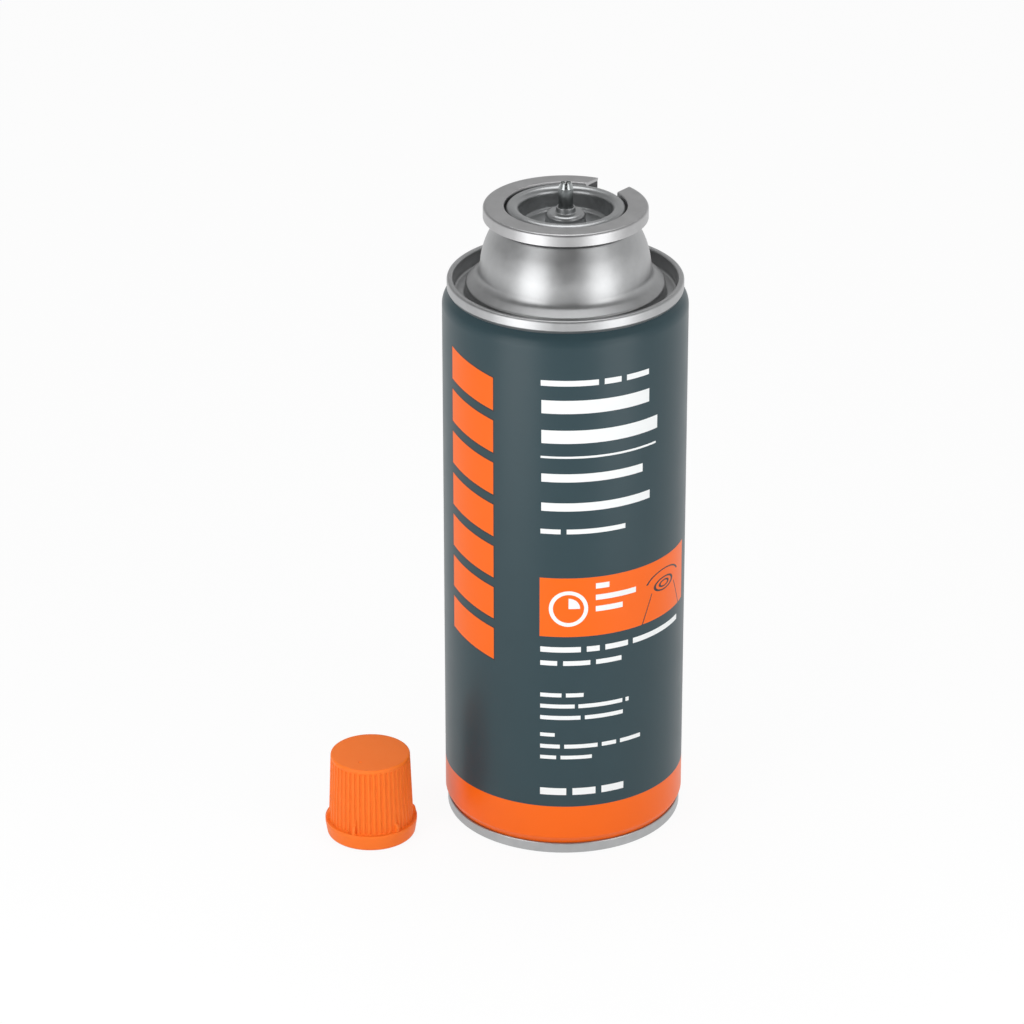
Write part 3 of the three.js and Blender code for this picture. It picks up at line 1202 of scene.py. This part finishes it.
    def valve_stem(self) -> Piece:
        """Builds the hollow stem with its flange and its crown of four teeth.

        Between the teeth the height is held down to the slot's floor. The sides of a slot stand
        half of its width from its middle, so at radius r its edge is at the angle whose sine is
        half of the width over r, and the columns are shared out between those edges. A column's
        part runs from -1 to 1 over a slot, and on to 3 over the tooth after it.

        Returns:
            The piece.
        """
        top, foot = self.stem.high, self.stem.low
        flange = foot + self.tail_length
        outline = profile(
            [
                Corner(0.0, foot),
                Corner(self.stem_radius, foot, 0.3),
                Corner(self.stem_radius, flange, 0.1),
                Corner(self.flange_radius, flange, 0.15),
                Corner(self.flange_radius, flange + self.flange_height, 0.15),
                Corner(self.stem_radius, flange + self.flange_height, 0.1),
                Corner(self.stem_radius, top - self.stem_nose, 0.4),
                Corner(self.stem_tip, top, 0.3),
                Corner(self.stem_bore, top, 0.1),
                Corner(self.stem_bore, top - self.bore_depth, 0.1),
                Corner(0.0, top - self.bore_depth),
            ],
            steps=6,
            hold=0.12,
        )
        over_slot = np.linspace(-1, 1, self.slot_steps + 1)
        over_tooth = np.linspace(1, 3, self.tooth_steps + 1)[1:-1]
        part = np.concatenate([over_slot, over_tooth])
        pitch = 2 * math.pi / self.teeth
        edge = np.arcsin(self.slot_width / 2 / np.maximum(outline[:, :1], self.slot_core))
        slot = np.clip(part, -1, 1) * edge
        tooth = np.clip(part - 1, 0, 2) / 2 * (pitch - 2 * edge)
        turns = (np.arange(self.teeth) + 0.5) * pitch
        angle = (turns[None, :, None] + (slot + tooth)[:, None, :]).reshape(len(outline), -1)
        height = outline[:, 1:]
        sunk = np.tile(np.abs(part) < 1 - ON_LEVEL, self.teeth)
        height = np.where(sunk, np.minimum(height, top - self.slot_depth), height)
        grid = round_axis(self.stem, outline[:, :1], angle, height)
        faces = grid_faces(len(outline), angle.shape[1], False, True)
        return Piece("stem_tube", grid, faces, Body.VALVE, Slot.STEM_METAL, "valve_stem")


@dataclass
class PushCap:
    """The ribbed cap that stands beside the can."""

    place: Place
    flutes: int = 48
    columns_a_flute: int = 12
    plug_radius: float = 12.1
    flange_height: float = 4.8
    flange_land: float = 1.0
    wall_foot: float = 11.7
    wall_top: float = 10.95
    wall: float = 1.25
    groove: float = 0.42
    groove_margin: float = 1.1
    groove_fade: float = 0.35
    top_round: float = 1.25
    lugs: int = 6
    lug_turn: float = 47.0
    lug_width: float = 0.9
    lug_height: float = 2.4
    lug_reach: float = 12.45
    lug_bulge: float = 4.0
    gate_offset: float = 6.3
    gate_turn: float = -76.0
    gate_radius: float = 0.45
    gate_depth: float = 0.2
    gate_reach: float = 0.6
    gate_steps: int = 14
    gate_power: float = 0.25
    hub_radius: float = 2.0
    rim_brace: float = 0.25
    ledge_steps: int = 4
    lug_steps: int = 10
    wall_steps: int = 9
    fade_steps: int = 8
    fade_run: float = 1.0
    step_run: float = 0.1

    def outline(self) -> tuple[Array, slice]:
        """Draws the section of the plain cap, with many points where the grooves and lugs are.

        Returns:
            The outline from the middle of the inside to the middle of the top, and its outer wall.
        """
        high, radius = self.place.high, self.place.radius
        ceiling = high - self.wall
        bore_top, bore_foot = self.wall_top - self.wall, self.wall_foot - self.wall
        inside = profile(
            [
                Corner(0.0, ceiling),
                Corner(bore_top, ceiling, 0.8),
                Corner(bore_foot, 0.0, 0.3),
                Corner(self.plug_radius, 0.0, 0.95),
                Corner(radius, self.flange_height - self.flange_land, 0.3),
                Corner(radius, self.flange_height, 0.35),
                Corner(self.lug_reach, self.flange_height),
            ],
            steps=7,
            hold=0.25,
        )
        ledge = np.linspace(self.lug_reach, self.wall_foot, self.ledge_steps + 1)[1:]
        ledge = np.stack([ledge, np.full(self.ledge_steps, self.flange_height)], -1)
        lug_top = self.flange_height + self.lug_height
        fade_top = high - self.groove_margin + self.step_run
        fade_foot = high - self.groove_margin - self.fade_run
        stretches = (
            (self.flange_height, lug_top, self.lug_steps),
            (lug_top, fade_foot, self.wall_steps),
            (fade_foot, fade_top, self.fade_steps),
        )
        heights = np.concatenate([np.linspace(low, up, steps + 1)[1:] for low, up, steps in stretches])
        lean = (self.wall_foot - self.wall_top) / (high - self.flange_height)
        wall = np.stack([self.wall_foot - (heights - self.flange_height) * lean, heights], -1)
        rim = [Corner(*wall[-1]), Corner(self.wall_top, high, self.top_round), Corner(0.0, high)]
        top = rounded(rim, closed=False, steps=9)[1:-1]
        across = np.linspace(self.gate_reach, -self.gate_reach, self.gate_steps + 1) + self.gate_offset
        across = np.array([top[-1, 0] - self.rim_brace, *across, self.hub_radius, 0.0])
        rest = np.stack([across, np.full(len(across), high)], -1)
        start = len(inside) - 1
        outer = slice(start, start + 1 + len(ledge) + len(wall))
        return np.vstack([inside, ledge, wall, top, rest]), outer

    def push_cap(self) -> Piece:
        """Builds the cap, with its grooves, its lugs and the mark of the mould's gate.

        A groove is a round bar's imprint: at a way t from its middle the wall is lower by the root
        of its radius squared less t squared. At a lug the outline moves out to a line from the
        flange's edge to the wall, which goes inwards by a power of its share of the way. The gate
        is a shallow bowl in the top.

        Returns:
            The piece.
        """
        outline, outer = self.outline()
        columns = self.flutes * self.columns_a_flute
        angle = np.arange(columns) / columns * 2 * math.pi
        radius = np.repeat(outline[:, :1], columns, axis=1)
        height = np.repeat(outline[:, 1:], columns, axis=1)
        pitch = 2 * math.pi / self.flutes
        off = (np.mod(angle, pitch) - pitch / 2) * radius[outer]
        depth = np.sqrt(np.clip(self.groove**2 - off**2, 0, None))
        groove_top = self.place.high - self.groove_margin
        fade = np.clip((groove_top - height[outer]) / self.groove_fade, 0, 1)
        above = np.clip((height[outer] - self.flange_height) / self.step_run, 0, 1)
        radius[outer] -= depth * np.sqrt(fade) * above
        line = outline[outer]
        lug_top = self.flange_height + self.lug_height
        reach = line[:, 1] <= lug_top + ON_LEVEL
        steps = np.linalg.norm(np.diff(line[reach], axis=0), axis=1)
        share = np.concatenate([[0], np.cumsum(steps)]) / steps.sum()
        ends = line[reach][[0, -1]]
        web = ends[0] + np.stack([share**self.lug_bulge, share], -1) * (ends[1] - ends[0])
        turn = 2 * math.pi / self.lugs
        way = np.mod(angle - math.radians(self.lug_turn) + turn / 2, turn) - turn / 2
        into = self.lug_width / 2 - np.abs(way * self.wall_foot)
        blend = np.clip(into / self.step_run + 0.5, 0, 1)
        rows = np.arange(outer.start, outer.stop)[reach]
        radius[rows] += (web[:, :1] - radius[rows]) * blend
        height[rows] += (web[:, 1:] - height[rows]) * blend
        gate = math.radians(self.gate_turn)
        gate_x, gate_y = self.gate_offset * math.cos(gate), self.gate_offset * math.sin(gate)
        away = np.hypot(radius * np.cos(angle) - gate_x, radius * np.sin(angle) - gate_y)
        on_top = outline[:, 1:] > self.place.high - ON_LEVEL
        bowl = np.clip(1 - (away / self.gate_radius) ** 2, 0, 1)
        height -= self.gate_depth * bowl**self.gate_power * on_top
        grid = round_axis(self.place, radius, angle, height)[::-1]
        faces = grid_faces(len(outline), columns, False, True)[:, ::-1]
        return Piece("ribbed_cap", grid, faces, Body.CANISTER, Slot.ORANGE_PLASTIC, "push_cap")


@dataclass(frozen=True)
class SoftBox:
    """A soft area lamp: where it stands round the can from the camera's side, and how it looks."""

    name: str
    around: float
    distance: float
    height: float
    width: float
    tall: float
    watts: float


@dataclass
class Studio:
    """The pale floor, the soft light and the camera."""

    axis: Place
    front: float = 38.0
    eye_back: float = 1117.059
    eye_height: float = 618.294
    yaw: float = -0.735
    pitch: float = 25.373
    roll: float = -0.075
    lens: float = 159.11
    sensor: float = 36.0
    clip: Span = (0.05, 60.0)
    floor_size: float = 24.0
    floor_glow: float = 0.92
    floor_drop: float = 0.00005
    paper: Colour = (0.82, 0.82, 0.82)
    level_below: float = 0.5
    world_level: float = 0.50
    wall_level: float = 0.62
    near_level: float = 0.2
    near_span: Span = (0.1, 0.8)
    front_span: Span = (0.1, 0.5)
    side_shares: Span = (0.7, 1.15)
    ceiling_share: float = 0.35
    ceiling_span: Span = (0.35, 0.85)
    horizon_span: Span = (0.01, 0.14)
    boxes: tuple[SoftBox, ...] = (
        SoftBox("left_softbox", -41.0, 0.27, 0.155, 0.17, 0.30, 0.42),
        SoftBox("right_softbox", 47.0, 0.27, 0.155, 0.16, 0.30, 0.34),
        SoftBox("overhead_softbox", 180.0, 0.25, 1.3, 0.9, 0.9, 6.5),
    )

    def turn(self) -> Matrix:
        """Gives the turn from the camera's own compass to the row frame."""
        return Matrix.Rotation(math.radians(self.front), 3, "Z")

    def stand(self) -> Vector:
        """Gives the point on the floor under the can's axis, in metres."""
        return Vector((self.axis.x, self.axis.y, 0.0)) * MM

    def camera(self) -> None:
        """Stands the camera where the photo was taken from.

        The view is turned by yaw, tipped down by pitch and rolled. Across is the level direction
        at a right angle to it, and upright is across times view.
        """
        yaw, pitch, roll = (math.radians(angle) for angle in (self.yaw, self.pitch, self.roll))
        level = math.cos(pitch)
        view = Vector((math.sin(yaw) * level, math.cos(yaw) * level, -math.sin(pitch)))
        across = Vector((math.cos(yaw), -math.sin(yaw), 0.0))
        upright = across.cross(view)
        right = math.cos(roll) * across + math.sin(roll) * upright
        above = -math.sin(roll) * across + math.cos(roll) * upright
        pose = self.turn() @ Matrix((right, above, -view)).transposed()
        eye = self.stand() + self.turn() @ Vector((0.0, -self.eye_back, self.eye_height)) * MM
        lens = bpy.data.cameras.new("photo_camera")
        lens.sensor_width, lens.lens = self.sensor, self.lens
        lens.clip_start, lens.clip_end = self.clip
        made = placed("photo_camera", lens)
        made.matrix_world = Matrix.Translation(eye) @ pose.to_4x4()
        bpy.context.scene.camera = made

    def lamps(self) -> None:
        """Stands the soft boxes round the can: a low one upright, a high one tipped to the can."""
        aim = self.stand() + Vector((0.0, 0.0, self.axis.high * MM / 2))
        for box in self.boxes:
            lamp = bpy.data.lights.new(box.name, "AREA")
            lamp.shape, lamp.size, lamp.size_y = "RECTANGLE", box.width, box.tall
            lamp.energy = box.watts
            angle = math.radians(box.around)
            spot = Vector((math.sin(angle) * box.distance, -math.cos(angle) * box.distance, box.height))
            made = placed(box.name, lamp)
            made.location = self.stand() + self.turn() @ spot
            target = aim if box.height > self.level_below else Vector((aim.x, aim.y, box.height))
            made.rotation_euler = (target - made.location).to_track_quat("-Z", "Y").to_euler()

    def world(self) -> None:
        """Gives even light from all round. Camera and mirrors see a room that darkens upwards.

        What they see is white at the horizon behind the can. Above it the room falls to the wall's
        level, and on the camera's side to the near level, there right from the horizon. Towards the
        top it falls to the ceiling's share of that, and the right is a little lighter than the left.
        """
        world = bpy.data.worlds.new("studio_world")
        graph = Graph(world)
        x, y, rise = graph.coordinates("Generated")
        right, nearer = facing(x, y, self.front)
        tone = nearer.scaled(*self.near_span, self.wall_level, self.near_level)
        tone = tone * right.scaled(-1.0, 1.0, *self.side_shares)
        tone = tone * rise.scaled(*self.ceiling_span, 1.0, self.ceiling_share)
        risen = rise.scaled(*self.horizon_span, 0.0, 1.0)
        front = nearer.scaled(*self.front_span, 0.0, 1.0)
        room = 1.0 - risen.math("MAXIMUM", front) * (1.0 - tone)
        level = graph.seen_directly() * (room - self.world_level) + self.world_level
        back = graph.node("ShaderNodeBackground", sockets={"Color": (1.0, 1.0, 1.0), "Strength": level})
        graph.node("ShaderNodeOutputWorld", sockets={"Surface": back.outputs[0]})
        bpy.context.scene.world = world

    def floor(self) -> None:
        """Lays a large pale floor that takes the can's shadow and reads as white."""
        half = self.floor_size / 2
        mesh = bpy.data.meshes.new("pale_floor")
        corners = [(-half, -half), (half, -half), (half, half), (-half, half)]
        mesh.from_pydata([(*corner, -self.floor_drop) for corner in corners], [], [(0, 1, 2, 3)])
        material = bpy.data.materials.new("pale_floor")
        graph = Graph(material)
        share = graph.seen_directly() * self.floor_glow
        paper = graph.node("ShaderNodeBsdfDiffuse", sockets={"Color": self.paper})
        glow = graph.node("ShaderNodeEmission", sockets={"Color": (1.0, 1.0, 1.0), "Strength": 1.0})
        sockets = {0: share, 1: paper.outputs[0], 2: glow.outputs[0]}
        graph.finish(graph.node("ShaderNodeMixShader", sockets=sockets).outputs[0])
        mesh.materials.append(material)
        placed("pale_floor", mesh)

    def build(self) -> None:
        """Sets up the whole studio."""
        bpy.context.scene.view_settings.view_transform = "Standard"
        self.world()
        self.floor()
        self.lamps()
        self.camera()
        LOG.info("studio: %d lamps", len(self.boxes))


def main() -> None:
    """Builds the can, its valve, its cap and the studio in order."""
    logging.basicConfig(level=logging.INFO, format="%(name)s %(message)s")
    axis, stem, cap = Place.of("sealed_can"), Place.of("valve_stem"), Place.of("push_cap")
    rim_top = Place.of("collar").high
    studio = Studio(axis)
    can = Can(axis, rim_top)
    head = ValveHead(axis, stem, rim_top)
    tinplate = BareMetal("bare_tinplate", (0.45, 0.455, 0.46), 0.41)
    steel = BareMetal("collar_steel", (0.47, 0.47, 0.475), 0.40)
    cup = BareMetal("cup_tinplate", (0.42, 0.43, 0.435), 0.36)
    bright = BareMetal("stem_metal", (0.38, 0.40, 0.40), 0.2, mottle=0.02)
    can.printed_body().make(PrintedCoat().material(axis, studio.front))
    ends = tinplate.material(axis)
    can.dome_end().make(ends)
    can.bottom_end().make(ends)
    head.collar().make(steel.material(axis))
    head.valve_cup().make(cup.material(axis))
    head.valve_stem().make(bright.material(stem))
    PushCap(cap).push_cap().make(MouldedPlastic().material())
    studio.build()


if __name__ == "__main__":
    main()
